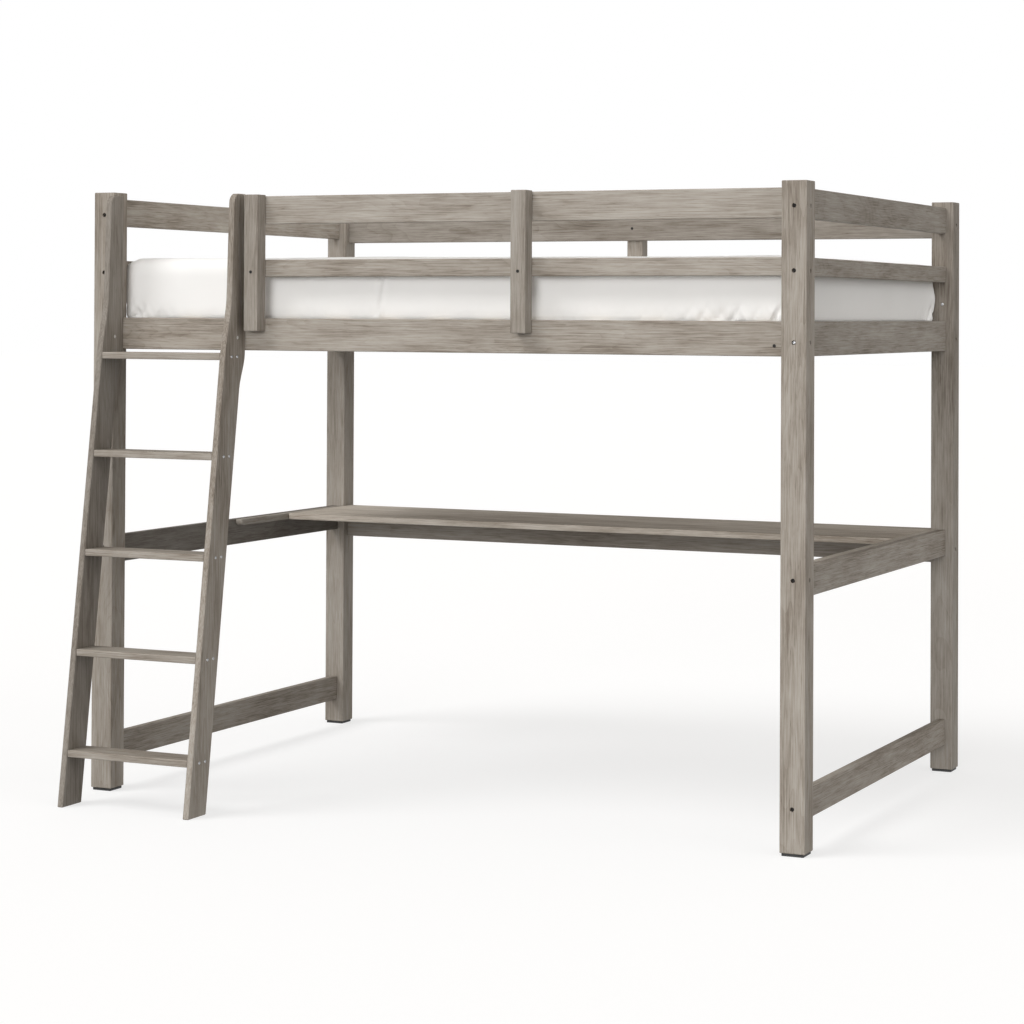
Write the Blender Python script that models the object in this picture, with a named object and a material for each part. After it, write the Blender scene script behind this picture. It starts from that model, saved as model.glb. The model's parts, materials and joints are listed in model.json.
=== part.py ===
"""Loft bed with a desk below it and a bolted ladder at its front left corner.

Metres, +Z up, +X to the right of someone facing the bed, +Y to its back.
The origin is on the floor, in the middle of the bounding box.
"""
import math

import bmesh
import bpy
from mathutils import Matrix, Vector

# Driving dimensions of the frame
FRAME_LENGTH = 2.030
FRAME_WIDTH = 1.370
POST_SIZE = 0.064
POST_TOP = 1.620
FOOT_HEIGHT = 0.007
FOOT_INSET = 0.004
LADDER_REACH = 0.250
RAIL_THICKNESS = 0.022
GAP = 0.0003
EDGE_EASE = 0.0022

# Heights of the rails, bottom and top
UPPER_GUARD = (1.530, 1.604)
BACK_GUARD = (1.518, 1.592)
LOWER_GUARD = (1.391, 1.436)
BED_RAIL = (1.196, 1.281)
DESK_RAIL = (0.614, 0.688)
DESK_APRON = (0.592, 0.6697)
STRETCHER = (0.077, 0.150)

# Battens that join the guards to the bed rails
BATTEN_SIZE = 0.042
BACK_BATTEN_WIDTH = 0.050
BATTEN_SPAN = (1.247, 1.607)
LEFT_BATTEN_X = -0.5312
MIDDLE_BATTEN_X = 0.2426
BACK_BATTEN_X = -0.006

# Desk
DESK_THICKNESS = 0.018
DESK_DEPTH = 0.400
DESK_END_GAP = 0.0015
LEDGE_WIDTH = 0.024
LEFT_LEDGE_LEAD = 0.270
RIGHT_LEDGE_LEAD = 0.700
LEDGE_CORNER_RADIUS = 0.013
PLATE_SIZE = (0.060, 0.030, 0.0025)
PLATE_SETBACKS = (0.060, 0.310)

# Bed base and mattress
SLAT_COUNT = 13
SLAT_WIDTH = 0.070
SLAT_THICKNESS = 0.018
SLAT_TOP = 1.270
SLAT_END_MARGIN = 0.060
CLEAT_SIZE = (0.021, 0.035)
MATTRESS_SIZE = (1.925, 1.250, 0.176)
MATTRESS_EDGE_RADIUS = 0.030

# Ladder
STRINGER_THICKNESS = 0.017
RIGHT_STRINGER_X = -0.550
STRINGER_TOP = 1.610
STRINGER_SLOPE = 0.1423
STRINGER_DEPTH = 0.087
STRINGER_HEAD_DEPTH = 0.060
STRINGER_HEAD_SLOPE = 0.040
FRONT_BEND = (1.190, 1.345)
BACK_BEND = (1.095, 1.190)
HEAD_RADIUS = 0.025
STEP_COUNT = 5
FIRST_STEP_TOP = 0.147
STEP_PITCH = 0.2605
STEP_THICKNESS = 0.018
STEP_INSET = 0.001
NUT_RADIUS = 0.0045
NUT_LENGTH = 0.012
NUT_SETBACK = 0.040

# Counterbores for the bolts of the joints
GUARD_BOLT_HEIGHTS = (1.559, 1.403)
BED_BOLT_HEIGHT = 1.230
DESK_BOLT_HEIGHT = 0.660
BOLT_HOLE_RADIUS = 0.0056
BOLT_HOLE_DEPTH = 0.010
HOLE_SIDES = 20

# Places that follow from the driving dimensions
HALF_LENGTH = FRAME_LENGTH / 2
RAIL_RECESS = (POST_SIZE - RAIL_THICKNESS) / 2
BATTEN_REACH = BATTEN_SIZE - RAIL_RECESS
FRONT_Y = (LADDER_REACH - FRAME_WIDTH - BATTEN_REACH) / 2
BACK_Y = FRONT_Y + FRAME_WIDTH
MIDDLE_Y = (FRONT_Y + BACK_Y) / 2
INNER_X = HALF_LENGTH - POST_SIZE
INNER_FRONT_Y = FRONT_Y + POST_SIZE
INNER_BACK_Y = BACK_Y - POST_SIZE
RAIL_FRONT_Y = FRONT_Y + RAIL_RECESS
RAIL_BACK_Y = BACK_Y - RAIL_RECESS
END_RAIL_X = HALF_LENGTH - RAIL_RECESS
END_RAIL_INNER_X = END_RAIL_X - RAIL_THICKNESS
DESK_FRONT_Y = RAIL_BACK_Y - DESK_DEPTH

WOOD = ("weathered_wood", (0.36, 0.32, 0.28), 0.62, 0.0)
SLAT_WOOD = ("slat_wood", (0.62, 0.52, 0.40), 0.60, 0.0)
PLASTIC = ("black_plastic", (0.03, 0.03, 0.03), 0.55, 0.0)
STEEL = ("zinc_steel", (0.62, 0.62, 0.60), 0.35, 1.0)
FABRIC = ("white_cover", (0.86, 0.86, 0.85), 0.90, 0.0)


def clear_scene():
    for item in list(bpy.data.objects):
        bpy.data.objects.remove(item, do_unlink=True)


def make_material(node, finish):
    """Each node has a Principled material of its own."""
    family, colour, roughness, metallic = finish
    material = bpy.data.materials.new(f"{node}_{family}")
    material.use_nodes = True
    shader = material.node_tree.nodes["Principled BSDF"]
    shader.inputs["Base Color"].default_value = (*colour, 1.0)
    shader.inputs["Roughness"].default_value = roughness
    shader.inputs["Metallic"].default_value = metallic
    material.diffuse_color = (*colour, 1.0)
    return material


def add_object(name, mesh_builder, location, finish, ease=EDGE_EASE, segments=2):
    """Put a bmesh in the scene as an object with eased edges."""
    mesh = bpy.data.meshes.new(name)
    bmesh.ops.recalc_face_normals(mesh_builder, faces=mesh_builder.faces)
    mesh_builder.to_mesh(mesh)
    mesh_builder.free()
    item = bpy.data.objects.new(name, mesh)
    item.location = location
    item.data.materials.append(make_material(name, finish))
    bpy.context.scene.collection.objects.link(item)
    if ease:
        bevel = item.modifiers.new("eased_edges", "BEVEL")
        bevel.width = ease
        bevel.segments = segments
        bevel.limit_method = "ANGLE"
        bevel.angle_limit = math.radians(40)
    return item


def board(name, low, high, finish=WOOD, ease=EDGE_EASE, segments=2):
    """A rectangular board between two corners."""
    low = Vector(low)
    high = Vector(high)
    size = high - low
    builder = bmesh.new()
    bmesh.ops.create_cube(builder, size=1.0)
    bmesh.ops.scale(builder, vec=size, verts=builder.verts)
    return add_object(name, builder, (low + high) / 2, finish, ease, segments)


def extruded_outline(name, outline, x_low, x_high, finish=WOOD, ease=EDGE_EASE):
    """A board cut to an outline in the YZ plane, extruded along X."""
    middle_x = (x_low + x_high) / 2
    builder = bmesh.new()
    corners = [builder.verts.new((x_low - middle_x, y, z)) for y, z in outline]
    face = builder.faces.new(corners)
    swept = bmesh.ops.extrude_face_region(builder, geom=[face])
    moved = [part for part in swept["geom"] if isinstance(part, bmesh.types.BMVert)]
    bmesh.ops.translate(builder, vec=(x_high - x_low, 0, 0), verts=moved)
    return add_object(name, builder, (middle_x, 0, 0), finish, ease, 1)


def turn_towards(axis):
    """A rotation that turns +Z to the given axis."""
    return Vector((0, 0, 1)).rotation_difference(Vector(axis)).to_matrix().to_4x4()


def drill(item, holes, radius, depth):
    """Cut round blind holes; each is its mouth's centre and the way it goes in."""
    bpy.context.view_layer.update()
    builder = bmesh.new()
    for mouth, inward in holes:
        middle = Vector(mouth) + Vector(inward) * (depth - radius) / 2
        place = Matrix.Translation(middle) @ turn_towards(inward)
        bmesh.ops.create_cone(builder, cap_ends=True, segments=HOLE_SIDES, radius1=radius,
                              radius2=radius, depth=depth + radius, matrix=place)
    cutter_mesh = bpy.data.meshes.new("drill")
    builder.to_mesh(cutter_mesh)
    builder.free()
    cutter = bpy.data.objects.new("drill", cutter_mesh)
    bpy.context.scene.collection.objects.link(cutter)
    cut = item.modifiers.new("holes", "BOOLEAN")
    cut.operation = "DIFFERENCE"
    cut.solver = "EXACT"
    cut.object = cutter
    bpy.context.view_layer.update()
    drilled = bpy.data.meshes.new_from_object(item.evaluated_get(bpy.context.evaluated_depsgraph_get()))
    item.modifiers.clear()
    item.data = drilled
    bpy.data.objects.remove(cutter, do_unlink=True)


def middle(span):
    return (span[0] + span[1]) / 2


def end_rail_heights():
    return [UPPER_GUARD, LOWER_GUARD, BED_RAIL, DESK_RAIL, STRETCHER]


def end_bolt_heights():
    """Heights of the bolts through each post into the end rails."""
    return [*GUARD_BOLT_HEIGHTS, BED_BOLT_HEIGHT, DESK_BOLT_HEIGHT, middle(STRETCHER)]


def long_bolt_heights(side, front):
    """Heights of the bolts that hold the long rails at one post."""
    if not front:
        return [middle(BACK_GUARD), BED_BOLT_HEIGHT, middle(DESK_APRON)]
    if side < 0:
        return [BED_BOLT_HEIGHT]
    return [*GUARD_BOLT_HEIGHTS, BED_BOLT_HEIGHT, DESK_BOLT_HEIGHT]


def build_posts():
    """Four posts with counterbored bolt holes, each on a plastic glide."""
    for side, side_name in ((-1, "left"), (1, "right")):
        for front, row_name in ((True, "front"), (False, "back")):
            x_outer = side * HALF_LENGTH
            x_inner = side * INNER_X
            y_outer = FRONT_Y if front else BACK_Y
            y_inner = INNER_FRONT_Y if front else INNER_BACK_Y
            low = (min(x_outer, x_inner), min(y_outer, y_inner), FOOT_HEIGHT + GAP)
            high = (max(x_outer, x_inner), max(y_outer, y_inner), POST_TOP)
            post = board(f"post_{row_name}_{side_name}", low, high)
            centre_x = (x_outer + x_inner) / 2
            centre_y = (y_outer + y_inner) / 2
            into_y = 1 if front else -1
            holes = []
            for height in end_bolt_heights():
                holes.append(((centre_x, y_outer, height), (0, into_y, 0)))
            for height in long_bolt_heights(side, front):
                holes.append(((x_outer, centre_y, height), (-side, 0, 0)))
            here = post.location.copy()
            post.location = (0, 0, 0)
            local = [(Vector(mouth) - here, way) for mouth, way in holes]
            drill(post, local, BOLT_HOLE_RADIUS, BOLT_HOLE_DEPTH)
            post.location = here
            foot_low = (low[0] + FOOT_INSET, low[1] + FOOT_INSET, 0)
            foot_high = (high[0] - FOOT_INSET, high[1] - FOOT_INSET, FOOT_HEIGHT)
            board(f"foot_{row_name}_{side_name}", foot_low, foot_high, PLASTIC, 0.001, 1)


def build_long_rails():
    """Rails and guards along X at the front and the back."""
    reach = INNER_X - GAP
    front = (RAIL_FRONT_Y, RAIL_FRONT_Y + RAIL_THICKNESS)
    back = (RAIL_BACK_Y - RAIL_THICKNESS, RAIL_BACK_Y)
    rails = [
        ("bed_rail_front", -reach, front, BED_RAIL),
        ("guard_upper_front", LEFT_BATTEN_X, front, UPPER_GUARD),
        ("guard_lower_front", LEFT_BATTEN_X, front, LOWER_GUARD),
        ("bed_rail_back", -reach, back, BED_RAIL),
        ("guard_upper_back", -reach, back, BACK_GUARD),
        ("desk_apron", -reach, back, DESK_APRON),
    ]
    for name, x_low, (y_low, y_high), (bottom, top) in rails:
        board(name, (x_low, y_low, bottom), (reach, y_high, top))


def build_end_rails():
    """Five rails between the posts at each end."""
    names = ["guard_upper", "guard_lower", "bed_rail", "desk_rail", "stretcher"]
    for side, side_name in ((-1, "left"), (1, "right")):
        x_faces = sorted((side * END_RAIL_X, side * END_RAIL_INNER_X))
        for name, (bottom, top) in zip(names, end_rail_heights()):
            low = (x_faces[0], INNER_FRONT_Y + GAP, bottom)
            high = (x_faces[1], INNER_BACK_Y - GAP, top)
            board(f"{name}_{side_name}", low, high)


def build_battens():
    """Upright battens screwed to the outer faces of the guards and bed rails."""
    bottom, top = BATTEN_SPAN
    front_low = RAIL_FRONT_Y - GAP - BATTEN_SIZE
    back_low = RAIL_BACK_Y + GAP
    places = [
        ("batten_front_left", LEFT_BATTEN_X, BATTEN_SIZE, front_low),
        ("batten_front_middle", MIDDLE_BATTEN_X, BATTEN_SIZE, front_low),
        ("batten_back", BACK_BATTEN_X, BACK_BATTEN_WIDTH, back_low),
    ]
    for name, x_low, width, y_low in places:
        board(name, (x_low, y_low, bottom), (x_low + width, y_low + BATTEN_SIZE, top))


def ledge_outline(front_y, back_y, bottom, top):
    """Side view of a ledge whose lower front corner is rounded."""
    radius = LEDGE_CORNER_RADIUS
    steps = 6
    points = [(front_y, top)]
    for index in range(steps + 1):
        angle = math.pi + index / steps * math.pi / 2
        y = front_y + radius + radius * math.cos(angle)
        z = bottom + radius + radius * math.sin(angle)
        points.append((y, z))
    points.append((back_y, bottom))
    points.append((back_y, top))
    return points


def build_desk():
    """The desk board between two ledges, on the apron and four steel plates."""
    top = DESK_RAIL[1]
    bottom = top - DESK_THICKNESS
    ledge_inner = END_RAIL_INNER_X - LEDGE_WIDTH
    reach = ledge_inner - DESK_END_GAP
    board("desk_top", (-reach, DESK_FRONT_Y, bottom), (reach, RAIL_BACK_Y, top))
    plate_x, plate_y, plate_z = PLATE_SIZE
    plate_top = bottom - GAP
    for side, side_name, lead in ((-1, "left", LEFT_LEDGE_LEAD), (1, "right", RIGHT_LEDGE_LEAD)):
        outline = ledge_outline(DESK_FRONT_Y - lead, INNER_BACK_Y - GAP, bottom, top)
        faces = sorted((side * (END_RAIL_INNER_X - GAP), side * ledge_inner))
        extruded_outline(f"desk_ledge_{side_name}", outline, faces[0], faces[1], ease=0.0015)
        outer = side * (END_RAIL_INNER_X - 2 * PLATE_SIZE[2])
        plate_faces = sorted((outer, outer - side * plate_x))
        for setback, row_name in zip(PLATE_SETBACKS, ("front", "back")):
            y_low = DESK_FRONT_Y + setback
            low = (plate_faces[0], y_low, plate_top - plate_z)
            high = (plate_faces[1], y_low + plate_y, plate_top)
            board(f"desk_plate_{row_name}_{side_name}", low, high, STEEL, 0.0006, 1)


def build_bed_base():
    """Two cleats inside the bed rails carry the slats."""
    cleat_depth, cleat_height = CLEAT_SIZE
    cleat_top = SLAT_TOP - SLAT_THICKNESS - GAP
    inner_front = RAIL_FRONT_Y + RAIL_THICKNESS + GAP
    inner_back = RAIL_BACK_Y - RAIL_THICKNESS - GAP
    reach = INNER_X - SLAT_THICKNESS
    cleats = [
        ("cleat_front", inner_front, inner_front + cleat_depth),
        ("cleat_back", inner_back - cleat_depth, inner_back),
    ]
    for name, y_low, y_high in cleats:
        board(name, (-reach, y_low, cleat_top - cleat_height), (reach, y_high, cleat_top))
    first = -INNER_X + SLAT_END_MARGIN
    pitch = -2 * first / (SLAT_COUNT - 1)
    for index in range(SLAT_COUNT):
        centre = first + index * pitch
        low = (centre - SLAT_WIDTH / 2, inner_front, SLAT_TOP - SLAT_THICKNESS)
        high = (centre + SLAT_WIDTH / 2, inner_back, SLAT_TOP)
        board(f"slat_{index + 1:02d}", low, high, SLAT_WOOD, 0.002, 1)


def build_mattress():
    length, width, height = MATTRESS_SIZE
    low = (-length / 2, MIDDLE_Y - width / 2, SLAT_TOP + GAP)
    high = (length / 2, MIDDLE_Y + width / 2, SLAT_TOP + GAP + height)
    board("mattress", low, high, FABRIC, MATTRESS_EDGE_RADIUS, 4)


def blend(start, end, start_slope, end_slope, count):
    """Points of a smooth bend between two (y, z) ends, with dy/dz slopes."""
    (y0, z0), (y1, z1) = start, end
    rise = z1 - z0
    points = []
    for index in range(count + 1):
        t = index / count
        y = (2 * t**3 - 3 * t**2 + 1) * y0 + (3 * t**2 - 2 * t**3) * y1
        y += (t**3 - 2 * t**2 + t) * rise * start_slope + (t**3 - t**2) * rise * end_slope
        points.append((y, z0 + t * rise))
    return points


def stringer_front_y(z):
    """Front edge of the sloping lower part of a stringer."""
    return FRONT_Y - LADDER_REACH + STRINGER_SLOPE * z


def stringer_outline():
    """Side view of a stringer: a sloping leg, a bend and an upright head."""
    back_face = RAIL_FRONT_Y - GAP
    head_front = back_face - STRINGER_HEAD_DEPTH
    bend_low, bend_high = FRONT_BEND
    front_bend_y = head_front - STRINGER_HEAD_SLOPE * (STRINGER_TOP - bend_high)
    points = [(stringer_front_y(0), 0)]
    points += blend((stringer_front_y(bend_low), bend_low), (front_bend_y, bend_high),
                    STRINGER_SLOPE, STRINGER_HEAD_SLOPE, 8)
    arc_steps = 6
    for index in range(arc_steps + 1):
        angle = math.pi - index / arc_steps * math.pi / 2
        y = head_front + HEAD_RADIUS + HEAD_RADIUS * math.cos(angle)
        z = STRINGER_TOP - HEAD_RADIUS + HEAD_RADIUS * math.sin(angle)
        points.append((y, z))
    points.append((back_face, STRINGER_TOP))
    low, high = BACK_BEND
    leg_back = stringer_front_y(low) + STRINGER_DEPTH
    points += reversed(blend((leg_back, low), (back_face, high), STRINGER_SLOPE, 0, 6))
    points.append((stringer_front_y(0) + STRINGER_DEPTH, 0))
    return points


def build_ladder():
    """Two bent stringers, five steps and the barrel nuts of the top bolts."""
    outline = stringer_outline()
    left_outer = -INNER_X + GAP
    left_inner = left_outer + STRINGER_THICKNESS
    right_inner = RIGHT_STRINGER_X - STRINGER_THICKNESS
    nut_z = BED_BOLT_HEIGHT
    nut_y = RAIL_FRONT_Y - NUT_SETBACK
    for name, x_low, x_high in (("left", left_outer, left_inner),
                                ("right", right_inner, RIGHT_STRINGER_X)):
        stringer = extruded_outline(f"ladder_stringer_{name}", outline, x_low, x_high, ease=0.0018)
        here = stringer.location.copy()
        stringer.location = (0, 0, 0)
        mouth = Vector((x_high, nut_y, nut_z)) - here
        drill(stringer, [(mouth, (-1, 0, 0))], NUT_RADIUS + GAP, NUT_LENGTH + GAP)
        stringer.location = here
        builder = bmesh.new()
        bmesh.ops.create_cone(builder, cap_ends=True, segments=HOLE_SIDES, radius1=NUT_RADIUS,
                              radius2=NUT_RADIUS, depth=NUT_LENGTH,
                              matrix=turn_towards((1, 0, 0)))
        nut = add_object(f"ladder_nut_{name}", builder, (x_high - NUT_LENGTH / 2, nut_y, nut_z),
                         STEEL, 0)
        nut.data.shade_smooth()
        nut.data.set_sharp_from_angle(angle=math.radians(40))
    for index in range(STEP_COUNT):
        top = FIRST_STEP_TOP + index * STEP_PITCH
        bottom = top - STEP_THICKNESS
        front = stringer_front_y(middle((bottom, top))) + STEP_INSET
        back = front + STRINGER_DEPTH - 2 * STEP_INSET
        low = (left_inner + GAP, front, bottom)
        high = (right_inner - GAP, back, top)
        board(f"ladder_step_{index + 1}", low, high)


def main():
    clear_scene()
    build_posts()
    build_long_rails()
    build_end_rails()
    build_battens()
    build_desk()
    build_bed_base()
    build_mattress()
    build_ladder()


main()
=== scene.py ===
"""Looks of the loft bed with desk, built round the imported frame."""
import json
import math

import bmesh
import bpy
from mathutils import Matrix, Vector, noise


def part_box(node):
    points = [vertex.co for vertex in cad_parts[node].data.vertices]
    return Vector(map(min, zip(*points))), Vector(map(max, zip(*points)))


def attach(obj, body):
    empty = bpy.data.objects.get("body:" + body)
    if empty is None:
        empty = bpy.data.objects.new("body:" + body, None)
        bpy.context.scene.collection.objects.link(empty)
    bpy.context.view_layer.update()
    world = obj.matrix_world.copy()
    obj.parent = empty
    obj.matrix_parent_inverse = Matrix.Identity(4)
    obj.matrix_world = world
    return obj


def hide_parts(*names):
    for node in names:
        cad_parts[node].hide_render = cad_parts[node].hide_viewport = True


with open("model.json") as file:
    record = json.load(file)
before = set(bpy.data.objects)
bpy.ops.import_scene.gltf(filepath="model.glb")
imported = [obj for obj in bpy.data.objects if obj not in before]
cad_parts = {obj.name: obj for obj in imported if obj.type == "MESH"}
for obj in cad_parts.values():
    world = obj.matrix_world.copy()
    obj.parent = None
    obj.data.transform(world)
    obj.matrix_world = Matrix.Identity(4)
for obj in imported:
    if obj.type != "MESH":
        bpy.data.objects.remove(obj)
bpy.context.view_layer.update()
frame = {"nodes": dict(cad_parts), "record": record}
scene = bpy.context.scene
nodes = frame["nodes"]

# Camera, measured from the point on the floor below the middle of the bed
CAMERA_PLACE = (3.013, -6.649, 1.295)
CAMERA_YAW = 24.95
CAMERA_PITCH = 0.67
CAMERA_ROLL = 0.27
CAMERA_LENS = 91.9
CAMERA_SENSOR = 36.0
CAMERA_SHIFT = -0.223

# Wood, as linear colours from a dark streak to a washed-out one
WOOD_TONES = ((0.00, (0.086, 0.065, 0.047)), (0.30, (0.208, 0.175, 0.141)),
              (0.55, (0.325, 0.290, 0.249)), (1.00, (0.470, 0.438, 0.394)))
PINE_TONES = ((0.00, (0.300, 0.220, 0.150)), (0.30, (0.470, 0.390, 0.300)),
              (0.60, (0.580, 0.500, 0.405)), (1.00, (0.680, 0.610, 0.520)))
SHEET_COLOUR = (0.930, 0.925, 0.912)

# Painted light and shade: boards whose wood is scaled darker where shade falls on them, or lighter
# where light does
PAINTED_BOARD_LIGHT_AND_SHADE = {"guard_upper_back": 0.67, "post_back_right": 0.80, "desk_rail_left": 0.50,
                "desk_ledge_left": 0.90, "post_back_left": 0.92, "post_front_left": 1.02,
                "ladder_stringer_left": 0.74, "batten_front_middle": 0.86,
                "batten_front_left": 0.88, "desk_apron": 0.82, "desk_top": 1.50,
                "guard_upper_right": 0.88, "guard_lower_right": 0.88, "bed_rail_right": 0.86,
                "desk_rail_right": 0.92, "desk_ledge_right": 1.25, "stretcher_right": 0.92,
                "stretcher_left": 0.88}
SHADE_SPREAD = 0.03

# Soft studio light: each lamp's name, where it comes from, strength and spread
LAMPS = (("front_light", (0.12, -0.98, 0.10), 1.95, 30.0),
         ("key_light", (-0.48, -0.50, 0.86), 1.6, 30.0),
         ("side_light", (0.95, -0.15, 0.20), 0.78, 50.0))
SKY_BELOW = 0.15
SKY_ABOVE = 0.47
FLOOR_GLOW = 0.675
FLOOR_GREY = 0.31
SKY_TINT = (1.00, 0.955, 0.90, 1.0)

# Height of the posts' counterbores from the middle of each rail
BOLT_OFFSETS = {"guard_upper": -0.008, "guard_lower": -0.0105, "bed_rail": -0.0085,
                "desk_rail": 0.009, "stretcher": 0.0, "guard_upper_back": 0.0,
                "desk_apron": 0.0}
COUNTERBORE_DEPTH = 0.0098
HEAD_SIDES = 24
# Batten heads stand just off the wood, step heads just into it
HEAD_GAP = 0.0002
STEP_HEAD_SINK = 0.0003
STEP_SCREW_SHIFTS = (-0.010, 0.018)
FLOOR_SIZE = 60.0

# Mattress shape
# Edge radii are for the upper, upright and lower edges; insets are for the low and high corner
MATTRESS_RADII = (0.032, 0.018, 0.008)
MATTRESS_INSETS = ((-0.006, 0.002, 0.005), (0.002, 0.002, 0.005))
MATTRESS_MARGIN = 0.002
EDGE_SEGMENTS = 6
VOXEL = 0.016
PRESSURE = 4.0
SIM_FRAMES = 20
SWELL_CAP = 0.005
STEEP = 0.85
SIDE_CUTS = 3
SMOOTHINGS = 6
UNDERSIDE = -0.6
UNDERSIDE_SHARE = 0.2
CREASE_MIDDLE = (-0.171, 1.334)
CREASE_LEAN = 0.14


def set_inputs(node, **values):
    """Set a shader node's sockets by name, with _ for a space."""
    for name, value in values.items():
        node.inputs[name.replace("_", " ")].default_value = value


class Graph:
    """A small helper that adds and links nodes in one material."""

    def __init__(self, name):
        self.material = bpy.data.materials.new(name)
        self.material.use_nodes = True
        self.tree = self.material.node_tree
        self.shader = self.tree.nodes["Principled BSDF"]

    def add(self, kind, **settings):
        node = self.tree.nodes.new(kind)
        for name, value in settings.items():
            setattr(node, name, value)
        return node

    def link(self, source, target):
        self.tree.links.new(source, target)

    def math(self, operation, first, second=None, clamp=False):
        node = self.add("ShaderNodeMath", operation=operation, use_clamp=clamp)
        for socket, value in zip(node.inputs, (first, second)):
            if value is None:
                continue
            if isinstance(value, (int, float)):
                socket.default_value = value
            else:
                self.link(value, socket)
        return node.outputs[0]

    def stretched(self, scale, offset=(0, 0, 0)):
        """Object coordinates, scaled differently along each axis."""
        if not hasattr(self, "coordinates"):
            self.coordinates = self.add("ShaderNodeTexCoord").outputs["Object"]
        node = self.add("ShaderNodeMapping")
        set_inputs(node, Scale=scale, Location=offset)
        self.link(self.coordinates, node.inputs["Vector"])
        return node.outputs["Vector"]

    def noise(self, vector, scale=1.0, detail=3.0, roughness=0.5, distortion=0.0):
        node = self.add("ShaderNodeTexNoise")
        set_inputs(node, Scale=scale, Detail=detail, Roughness=roughness, Distortion=distortion)
        self.link(vector, node.inputs["Vector"])
        return node.outputs["Fac"]

    def ramp(self, factor, stops):
        node = self.add("ShaderNodeValToRGB")
        elements = node.color_ramp.elements
        while len(elements) < len(stops):
            elements.new(0.5)
        for element, (position, colour) in zip(elements, stops):
            element.position = position
            element.color = (*colour, 1.0)
        self.link(factor, node.inputs["Fac"])
        return node.outputs["Color"]

    def bump(self, height, strength, distance):
        node = self.add("ShaderNodeBump")
        set_inputs(node, Strength=strength, Distance=distance)
        self.link(height, node.inputs["Height"])
        self.link(node.outputs["Normal"], self.shader.inputs["Normal"])


def along(axis, length_scale, cross_scale):
    """Scales that stretch a texture along one axis."""
    scale = [cross_scale] * 3
    scale[axis] = length_scale
    return tuple(scale)


def shaded(tones, shade):
    return tuple((stop, tuple(shade * channel for channel in colour)) for stop, colour in tones)


def wood_material(name, axis, seed, tones):
    """Weathered wood whose grain runs along one axis of the frame."""
    graph = Graph(name)
    shift = tuple(7.3 * seed + 3.1 * step for step in range(3))
    fibre = graph.noise(graph.stretched(along(axis, 12.0, 760.0), shift), detail=2, roughness=0.6)
    streak = graph.noise(graph.stretched(along(axis, 2.6, 340.0), shift), detail=3,
                         roughness=0.65, distortion=0.25)
    figure = graph.noise(graph.stretched(along(axis, 0.9, 9.0), shift), detail=2,
                         roughness=0.45, distortion=0.5)
    cloud = graph.noise(graph.stretched(along(axis, 4.5, 22.0), shift), detail=6, roughness=0.68)
    wash = graph.noise(graph.stretched(along(axis, 1.2, 3.0), shift), detail=2)
    pores = graph.noise(graph.stretched(along(axis, 26.0, 420.0), shift), detail=2, roughness=0.7)
    ring = graph.math("FRACT", graph.math("MULTIPLY", figure, 30.0))
    latewood = graph.math("POWER", ring, 4.0)
    tone = graph.math("MULTIPLY", graph.math("SUBTRACT", latewood, 0.2), -0.10)
    parts = ((fibre, 1.00), (streak, 0.45), (cloud, 1.00), (wash, 0.55))
    for texture, weight in parts:
        centred = graph.math("MULTIPLY", graph.math("SUBTRACT", texture, 0.5), weight)
        tone = graph.math("ADD", tone, centred)
    tone = graph.math("ADD", tone, 0.56)
    pore = graph.math("MULTIPLY", graph.math("SUBTRACT", 0.37, pores), 5.0, clamp=True)
    tone = graph.math("SUBTRACT", tone, graph.math("MULTIPLY", pore, 0.35), clamp=True)
    graph.link(graph.ramp(tone, tones), graph.shader.inputs["Base Color"])
    graph.link(graph.math("SUBTRACT", 0.84, graph.math("MULTIPLY", tone, 0.26)),
               graph.shader.inputs["Roughness"])
    set_inputs(graph.shader, Specular_IOR_Level=0.30)
    height = graph.math("ADD", graph.math("MULTIPLY", fibre, 0.8), streak)
    height = graph.math("SUBTRACT", height, graph.math("MULTIPLY", pore, 0.4))
    graph.bump(height, 0.30, 0.0006)
    return graph.material


def steel_material(name, colour, roughness, metallic=1.0):
    graph = Graph(name)
    speck = graph.noise(graph.stretched((900.0, 900.0, 900.0)), detail=2)
    graph.link(graph.ramp(speck, ((0.3, tuple(0.75 * c for c in colour)), (0.7, colour))),
               graph.shader.inputs["Base Color"])
    graph.link(graph.math("ADD", graph.math("MULTIPLY", speck, 0.2), roughness - 0.1),
               graph.shader.inputs["Roughness"])
    set_inputs(graph.shader, Metallic=metallic)
    graph.bump(speck, 0.15, 0.0002)
    return graph.material


def plastic_material(name):
    graph = Graph(name)
    pebble = graph.noise(graph.stretched((1400.0, 1400.0, 1400.0)), detail=2)
    graph.link(graph.ramp(pebble, ((0.2, (0.012, 0.012, 0.012)), (0.8, (0.035, 0.035, 0.035)))),
               graph.shader.inputs["Base Color"])
    graph.link(graph.math("ADD", graph.math("MULTIPLY", pebble, 0.2), 0.45),
               graph.shader.inputs["Roughness"])
    graph.bump(pebble, 0.3, 0.0003)
    return graph.material


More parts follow.
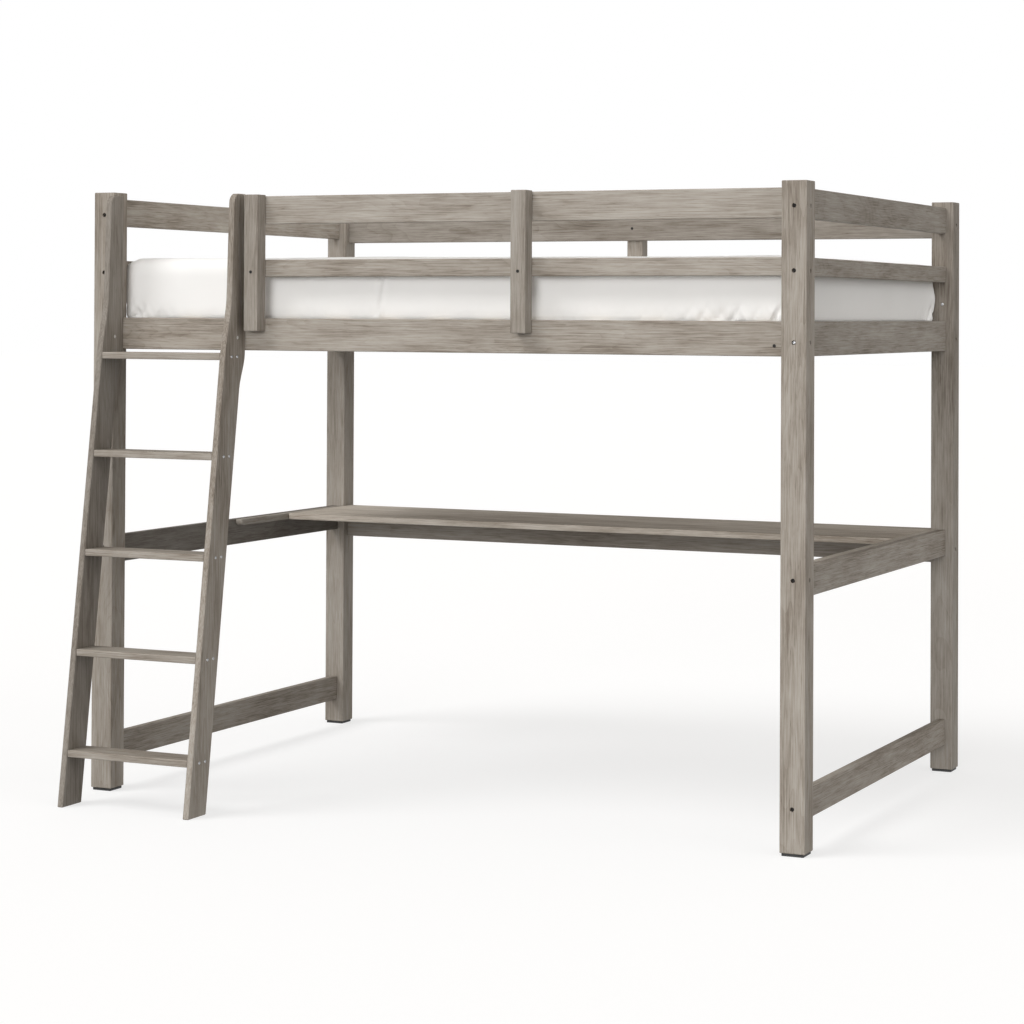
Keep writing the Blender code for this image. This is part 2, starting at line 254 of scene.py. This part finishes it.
def sheet_material(name):
    """A white cotton sheet: a fine plain weave over soft creases."""
    graph = Graph(name)
    threads = []
    for scale in ((2600.0, 0.0, 0.0), (0.0, 2600.0, 2600.0)):
        wave = graph.add("ShaderNodeTexWave", wave_type="BANDS", bands_direction="DIAGONAL")
        set_inputs(wave, Scale=1.0, Distortion=0.6, Detail=1.0)
        graph.link(graph.stretched(scale), wave.inputs["Vector"])
        threads.append(wave.outputs["Fac"])
    weave = graph.math("MULTIPLY", threads[0], threads[1])
    crease = graph.noise(graph.stretched((6.0, 6.0, 9.0)), detail=4, roughness=0.5)
    soft = graph.noise(graph.stretched((3.0, 3.0, 3.0)), detail=3)
    worn = tuple(0.965 * channel for channel in SHEET_COLOUR)
    graph.link(graph.ramp(soft, ((0.35, worn), (0.65, SHEET_COLOUR))),
               graph.shader.inputs["Base Color"])
    set_inputs(graph.shader, Roughness=0.88, Sheen_Weight=0.25, Sheen_Roughness=0.5,
               Specular_IOR_Level=0.25)
    height = graph.math("ADD", graph.math("MULTIPLY", weave, 0.04), crease)
    graph.bump(height, 0.30, 0.004)
    return graph.material


def dress(node_name, material):
    node = nodes[node_name]
    node.data.materials.clear()
    node.data.materials.append(material)


def longest_axis(name):
    low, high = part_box(name)
    size = high - low
    return max(range(3), key=lambda axis: size[axis])


def dress_frame():
    """Give each CAD node its finish, with its own stretch of grain."""
    slots = {part["node"]: part["material_slot"] for part in frame["record"]["subparts"]}
    plain = {
        "black_plastic": plastic_material("glide_plastic"),
        "zinc_steel": steel_material("zinc_plate", (0.80, 0.80, 0.79), 0.40, 0.5),
    }
    for seed, name in enumerate(sorted(nodes)):
        slot = slots[name]
        if slot == "weathered_wood":
            # painted shade and painted light for this board, plus a small random spread in its tone
            shade = PAINTED_BOARD_LIGHT_AND_SHADE.get(name, 1.0) + SHADE_SPREAD * math.sin(12.9 * seed)
            tones = shaded(WOOD_TONES, shade)
            dress(name, wood_material(f"wood_{name}", longest_axis(name), seed, tones))
        elif slot == "slat_wood":
            dress(name, wood_material(f"wood_{name}", longest_axis(name), seed, PINE_TONES))
        elif slot in plain:
            dress(name, plain[slot])


def object_from(builder, name, material):
    mesh = bpy.data.meshes.new(name)
    builder.to_mesh(mesh)
    builder.free()
    item = bpy.data.objects.new(name, mesh)
    item.data.materials.append(material)
    scene.collection.objects.link(item)
    return item


def facing(axis, place):
    """A transform that turns +Z to an axis and moves to a place."""
    turn = Vector((0, 0, 1)).rotation_difference(Vector(axis)).to_matrix().to_4x4()
    return Matrix.Translation(place) @ turn


def screw_head_mesh(radius, height, dome, recess_sides, recess_radius):
    """A head, domed at its rim, with a socket, facing +Z from z = 0."""
    sides = HEAD_SIDES
    builder = bmesh.new()
    profile = [(radius, 0), (radius, height - dome), (0.90 * radius, height - 0.3 * dome),
               (0.70 * radius, height)]
    rings = []
    for r, z in profile:
        ring = [builder.verts.new((r * math.cos(2 * math.pi * i / sides),
                                   r * math.sin(2 * math.pi * i / sides), z)) for i in range(sides)]
        rings.append(ring)
    for z in (height, height - dome):
        ring = []
        for i in range(sides):
            angle = 2 * math.pi * i / sides
            corner = math.pi / recess_sides
            reach = recess_radius * math.cos(corner) / math.cos((angle % (2 * corner)) - corner)
            ring.append(builder.verts.new((reach * math.cos(angle), reach * math.sin(angle), z)))
        rings.append(ring)
    for low, high in zip(rings, rings[1:]):
        for i in range(sides):
            j = (i + 1) % sides
            builder.faces.new((low[i], low[j], high[j], high[i]))
    builder.faces.new(rings[-1])
    builder.faces.new(list(reversed(rings[0])))
    mesh = bpy.data.meshes.new("screw_head")
    builder.to_mesh(mesh)
    builder.free()
    mesh.shade_smooth()
    mesh.set_sharp_from_angle(angle=math.radians(35))
    return mesh


def put_heads(mesh, prefix, places):
    """Copies of one head mesh; each place is its foot and the way it faces."""
    for index, (place, axis) in enumerate(places, 1):
        head = bpy.data.objects.new(f"{prefix}_{index:02d}", mesh)
        scene.collection.objects.link(head)
        head.matrix_world = facing(axis, place)
        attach(head, "frame")


def centre_of(name):
    low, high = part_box(name)
    return (low + high) / 2


def bolt_places():
    """Bolt heads at the bottom of the posts' counterbores."""
    dark, bright = [], []
    for side_name, side in (("left", -1), ("right", 1)):
        for row_name, row in (("front", -1), ("back", 1)):
            low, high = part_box(f"post_{row_name}_{side_name}")
            centre = (low + high) / 2
            y_foot = (low.y if row < 0 else high.y) - row * COUNTERBORE_DEPTH
            x_foot = (low.x if side < 0 else high.x) - side * COUNTERBORE_DEPTH
            for rail in ("guard_upper", "guard_lower", "bed_rail", "desk_rail", "stretcher"):
                z = centre_of(f"{rail}_{side_name}").z + BOLT_OFFSETS[rail]
                place = ((centre.x, y_foot, z), (0, row, 0))
                (bright if rail == "bed_rail" else dark).append(place)
            if row > 0:
                rails = ("guard_upper_back", "bed_rail_back", "desk_apron")
            elif side < 0:
                rails = ("bed_rail_front",)
            else:
                rails = ("guard_upper_front", "guard_lower_front", "bed_rail_front",
                         "desk_rail_right")
            for rail in rails:
                offset = BOLT_OFFSETS.get(rail, BOLT_OFFSETS.get(rail.rsplit("_", 1)[0]))
                z = centre_of(rail).z + offset
                dark.append(((x_foot, centre.y, z), (side, 0, 0)))
    return dark, bright


def batten_screws():
    """Screws through the battens and the back guard, and one through the bed rail."""
    places = []
    guard_z = centre_of("guard_lower_front").z + BOLT_OFFSETS["guard_lower"]
    for name in ("batten_front_left", "batten_front_middle"):
        low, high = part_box(name)
        places.append((((low.x + high.x) / 2, low.y - HEAD_GAP, guard_z), (0, -1, 0)))
    back = centre_of("batten_back")
    low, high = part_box("guard_upper_back")
    places.append(((back.x, low.y - HEAD_GAP, (low.z + high.z) / 2), (0, -1, 0)))
    low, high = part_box("bed_rail_front")
    post_low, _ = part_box("post_front_right")
    places.append(((post_low.x - 0.024, low.y - HEAD_GAP, (low.z + high.z) / 2 - 0.017), (0, -1, 0)))
    return places


def step_screws():
    """Two screws through the right stringer into the end of each step."""
    places = []
    _, right_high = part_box("ladder_stringer_right")
    for index in range(1, 6):
        low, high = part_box(f"ladder_step_{index}")
        middle = (low + high) / 2
        for shift in STEP_SCREW_SHIFTS:
            foot = (right_high.x - STEP_HEAD_SINK, middle.y + shift, middle.z)
            places.append((foot, (1, 0, 0)))
    return places


def post_screws():
    """One bright screw in the back right post, between the lower guard and the bed rail."""
    low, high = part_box("post_back_right")
    guard_low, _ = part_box("guard_lower_right")
    _, rail_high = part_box("bed_rail_right")
    middle = (guard_low.z + rail_high.z) / 2
    return [(((low.x + high.x) / 2, low.y - HEAD_GAP, middle - 0.007), (0, -1, 0))]


def build_fasteners():
    black = steel_material("black_oxide_steel", (0.030, 0.028, 0.026), 0.42, 0.6)
    zinc = steel_material("zinc_screw", (0.56, 0.57, 0.59), 0.30)
    bolt = screw_head_mesh(0.0047, 0.0050, 0.0025, 6, 0.0022)
    bolt.materials.append(black)
    bright_bolt = screw_head_mesh(0.0045, 0.0080, 0.0020, 6, 0.0020)
    bright_bolt.materials.append(zinc)
    screw = screw_head_mesh(0.0042, 0.0014, 0.0010, 4, 0.0020)
    screw.materials.append(zinc)
    dark_screw = screw_head_mesh(0.0042, 0.0012, 0.0009, 4, 0.0020)
    dark_screw.materials.append(black)
    dark, bright = bolt_places()
    put_heads(bolt, "post_bolt", dark)
    put_heads(bright_bolt, "bed_rail_bolt", bright)
    put_heads(dark_screw, "batten_screw", batten_screws())
    put_heads(screw, "step_screw", step_screws())
    put_heads(screw, "post_screw", post_screws())


def rounded_box(name, low, high, radii, segments, material):
    """A box whose upper, upright and lower edges are each rounded by their own radius."""
    builder = bmesh.new()
    bmesh.ops.create_cube(builder, size=1.0)
    bmesh.ops.scale(builder, vec=high - low, verts=builder.verts)
    bmesh.ops.translate(builder, vec=(low + high) / 2, verts=builder.verts)
    weights = builder.edges.layers.float.new("bevel_weight_edge")
    largest = max(radii)
    for edge in builder.edges:
        heights = [vertex.co.z for vertex in edge.verts]
        if abs(heights[0] - heights[1]) > 1e-6:
            radius = radii[1]
        elif heights[0] > (low.z + high.z) / 2:
            radius = radii[0]
        else:
            radius = radii[2]
        edge[weights] = radius / largest
    item = object_from(builder, name, material)
    bevel = item.modifiers.new("rounding", "BEVEL")
    bevel.width = largest
    bevel.segments = segments
    bevel.limit_method = "WEIGHT"
    return item


def apply_modifiers(item):
    """Replace an object's mesh with its evaluated one."""
    shape = item.evaluated_get(bpy.context.evaluated_depsgraph_get())
    mesh = bpy.data.meshes.new_from_object(shape)
    item.modifiers.clear()
    old = item.data
    item.data = mesh
    bpy.data.meshes.remove(old)


def swell(item):
    """Inflate the closed skin a little, as a stuffed case under its own tension."""
    start = [vertex.co.copy() for vertex in item.data.vertices]
    cloth = item.modifiers.new("swell", "CLOTH")
    cloth.settings.use_pressure = True
    cloth.settings.uniform_pressure_force = PRESSURE
    cloth.settings.effector_weights.gravity = 0
    cloth.settings.quality = 4
    cloth.settings.mass = 0.3
    cloth.settings.tension_stiffness = 15
    cloth.settings.compression_stiffness = 8
    cloth.settings.bending_stiffness = 0.6
    cloth.point_cache.frame_start = 1
    cloth.point_cache.frame_end = SIM_FRAMES
    for step in range(1, SIM_FRAMES + 1):
        scene.frame_set(step)
    apply_modifiers(item)
    scene.frame_set(1)
    for vertex, home in zip(item.data.vertices, start):
        move = vertex.co - home
        if move.length > SWELL_CAP:
            vertex.co = home + move * (SWELL_CAP / move.length)


def refine_sides(mesh):
    """Split the faces round the sides finely enough to hold small folds."""
    builder = bmesh.new()
    builder.from_mesh(mesh)
    edges = [edge for edge in builder.edges
             if any(abs(face.normal.z) < STEEP for face in edge.link_faces)]
    bmesh.ops.subdivide_edges(builder, edges=edges, cuts=SIDE_CUTS, use_grid_fill=True)
    builder.normal_update()
    skin = [vertex for vertex in builder.verts
            if any(abs(face.normal.z) < STEEP for face in vertex.link_faces)]
    for _ in range(SMOOTHINGS):
        bmesh.ops.smooth_vert(builder, verts=skin, factor=0.5,
                              use_axis_x=True, use_axis_y=True, use_axis_z=True)
    builder.to_mesh(mesh)
    builder.free()


def falloff(value, start, end):
    """Smoothly from 0 at start to 1 at end."""
    t = max(0.0, min(1.0, (value - start) / (end - start)))
    return t * t * (3 - 2 * t)


def bell(value, width):
    return math.exp(-(value / width) ** 2)


def sheet_folds(point, low, high):
    """How far a fitted sheet stands off its mattress at a point near its skin.

    The hem is gathered by elastic, most of all at the front right corner. One crease
    stands up the front, and the back right corner has a loose pocket.
    """
    centre = (low + high) / 2
    half = (high - low) / 2
    x = (point.x - centre.x) / half.x
    y = (point.y - centre.y) / half.y
    on_long_side = half.y - abs(point.y - centre.y) < half.x - abs(point.x - centre.x)
    run, to_corner = point.y, half.y - abs(point.y - centre.y)
    if on_long_side:
        run, to_corner = point.x, half.x - abs(point.x - centre.x)
    side = falloff(max(abs(x), abs(y)), 0.90, 0.99)
    rise = point.z - low.z
    reach = 0.19 if on_long_side and x > 0 and y < 0 else 0.08
    hem = bell(max(0.0, rise - 0.020), 0.024) * (0.06 + 0.94 * bell(to_corner - 0.03, reach))
    lean = -0.55 * rise
    ridge = noise.noise(Vector(((run + lean) * 21.0, 0.5 * rise, 3.7)))
    fine = noise.noise(Vector(((run - lean) * 50.0, 2.0 * rise, 9.1)))
    off = side * hem * (0.050 * (min(abs(ridge), 0.30) - 0.24) + 0.008 * fine)
    if y < -0.9:
        crease_x, crease_z = CREASE_MIDDLE
        across = point.x - crease_x - CREASE_LEAN * (point.z - crease_z)
        span = falloff(rise, 0.008, 0.030) * (1.0 - falloff(rise, 0.105, 0.140))
        off += span * 0.0042 * (bell(across - 0.007, 0.009) - bell(across + 0.009, 0.010))
    if x > 0 and y > 0:
        off += side * 0.010 * bell(to_corner, 0.06) * bell(rise - 0.072, 0.035)
    broad = noise.noise(Vector((point.x * 2.3, point.y * 2.9, point.z * 4.0))) * 0.0035
    soft = noise.noise(Vector((point.x * 7.0, point.y * 8.0, point.z * 9.0))) * 0.0012
    return off + broad + soft


def mattress_room():
    """The room between the rails, and the smaller one between the posts' inner corners."""
    gap = Vector((MATTRESS_MARGIN, MATTRESS_MARGIN, 0))
    rails_low = Vector((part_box("bed_rail_left")[1].x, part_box("bed_rail_front")[1].y, 0))
    rails_high = Vector((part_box("bed_rail_right")[0].x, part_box("bed_rail_back")[0].y, 0))
    posts_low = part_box("post_front_left")[1]
    posts_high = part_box("post_back_right")[0]
    return rails_low + gap, rails_high - gap, posts_low + gap, posts_high - gap


def keep_clear(point, room):
    """Hold a point of the mattress off the rails and the posts."""
    rails_low, rails_high, posts_low, posts_high = room
    point.x = min(max(point.x, rails_low.x), rails_high.x)
    point.y = min(max(point.y, rails_low.y), rails_high.y)
    inside_x = min(max(point.x, posts_low.x), posts_high.x)
    inside_y = min(max(point.y, posts_low.y), posts_high.y)
    if inside_x != point.x and inside_y != point.y:
        if abs(inside_x - point.x) < abs(inside_y - point.y):
            point.x = inside_x
        else:
            point.y = inside_y


def build_mattress():
    """A foam mattress in a fitted sheet: crowned top, soft edges, gathered lower rim."""
    low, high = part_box("mattress")
    material = sheet_material("cotton_sheet")
    inset_low, inset_high = (Vector(inset) for inset in MATTRESS_INSETS)
    mattress = rounded_box("mattress_in_sheet", low + inset_low, high - inset_high,
                           MATTRESS_RADII, EDGE_SEGMENTS, material)
    remesh = mattress.modifiers.new("remesh", "REMESH")
    remesh.mode = "VOXEL"
    remesh.voxel_size = VOXEL
    apply_modifiers(mattress)
    swell(mattress)
    room = mattress_room()
    mesh = mattress.data
    refine_sides(mesh)
    normals = [vertex.normal.copy() for vertex in mesh.vertices]
    for vertex, normal in zip(mesh.vertices, normals):
        point = vertex.co
        off = sheet_folds(point, low, high)
        if normal.z < UNDERSIDE:
            off *= UNDERSIDE_SHARE
        vertex.co = point + normal * off
        vertex.co.z = max(vertex.co.z, low.z)
        keep_clear(vertex.co, room)
    mesh.shade_smooth()
    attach(mattress, "mattress")
    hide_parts("mattress")


def build_floor():
    """A plain pale floor that doesn't throw light back at the bed."""
    builder = bmesh.new()
    bmesh.ops.create_grid(builder, x_segments=1, y_segments=1, size=FLOOR_SIZE)
    graph = Graph("floor")
    set_inputs(graph.shader, Base_Color=(FLOOR_GREY, FLOOR_GREY, FLOOR_GREY, 1.0),
               Roughness=0.9, Emission_Color=(1.0, 1.0, 1.0, 1.0), Emission_Strength=FLOOR_GLOW)
    floor = object_from(builder, "floor", graph.material)
    floor.visible_diffuse = False


def build_surround():
    """A white backdrop that lights the bed more from above than from below."""
    world = bpy.data.worlds.new("surround")
    scene.world = world
    world.use_nodes = True
    tree = world.node_tree
    light = tree.nodes["Background"]
    backdrop = tree.nodes.new("ShaderNodeBackground")
    light.inputs["Color"].default_value = SKY_TINT
    backdrop.inputs["Color"].default_value = (1, 1, 1, 1)
    direction = tree.nodes.new("ShaderNodeTexCoord")
    split = tree.nodes.new("ShaderNodeSeparateXYZ")
    fade = tree.nodes.new("ShaderNodeMapRange")
    fade.interpolation_type = "SMOOTHSTEP"
    set_inputs(fade, From_Min=-0.30, From_Max=0.40, To_Min=SKY_BELOW, To_Max=SKY_ABOVE)
    path = tree.nodes.new("ShaderNodeLightPath")
    mix = tree.nodes.new("ShaderNodeMixShader")
    tree.links.new(direction.outputs["Generated"], split.inputs[0])
    tree.links.new(split.outputs["Z"], fade.inputs["Value"])
    tree.links.new(fade.outputs["Result"], light.inputs["Strength"])
    tree.links.new(path.outputs["Is Camera Ray"], mix.inputs[0])
    tree.links.new(light.outputs[0], mix.inputs[1])
    tree.links.new(backdrop.outputs[0], mix.inputs[2])
    tree.links.new(mix.outputs[0], tree.nodes["World Output"].inputs["Surface"])


def build_lights():
    for name, direction, strength, angle in LAMPS:
        lamp = bpy.data.lights.new(name, "SUN")
        lamp.energy = strength
        lamp.angle = math.radians(angle)
        item = bpy.data.objects.new(name, lamp)
        item.rotation_euler = Vector(direction).to_track_quat("Z", "Y").to_euler()
        scene.collection.objects.link(item)
    scene.view_settings.view_transform = "Standard"


def build_camera():
    data = bpy.data.cameras.new("camera")
    data.lens = CAMERA_LENS
    data.sensor_width = CAMERA_SENSOR
    data.shift_y = CAMERA_SHIFT
    data.clip_end = 200.0
    camera = bpy.data.objects.new("camera", data)
    scene.collection.objects.link(camera)
    bed_middle = (centre_of("post_front_left") + centre_of("post_back_right")) / 2
    turn = Matrix.Rotation(math.radians(CAMERA_YAW), 4, "Z")
    turn @= Matrix.Rotation(math.radians(90 + CAMERA_PITCH), 4, "X")
    turn @= Matrix.Rotation(math.radians(CAMERA_ROLL), 4, "Z")
    place = Vector(CAMERA_PLACE) + Vector((bed_middle.x, bed_middle.y, 0))
    camera.matrix_world = Matrix.Translation(place) @ turn
    scene.camera = camera


build_camera()
dress_frame()
build_fasteners()
build_mattress()
build_floor()
build_surround()
build_lights()
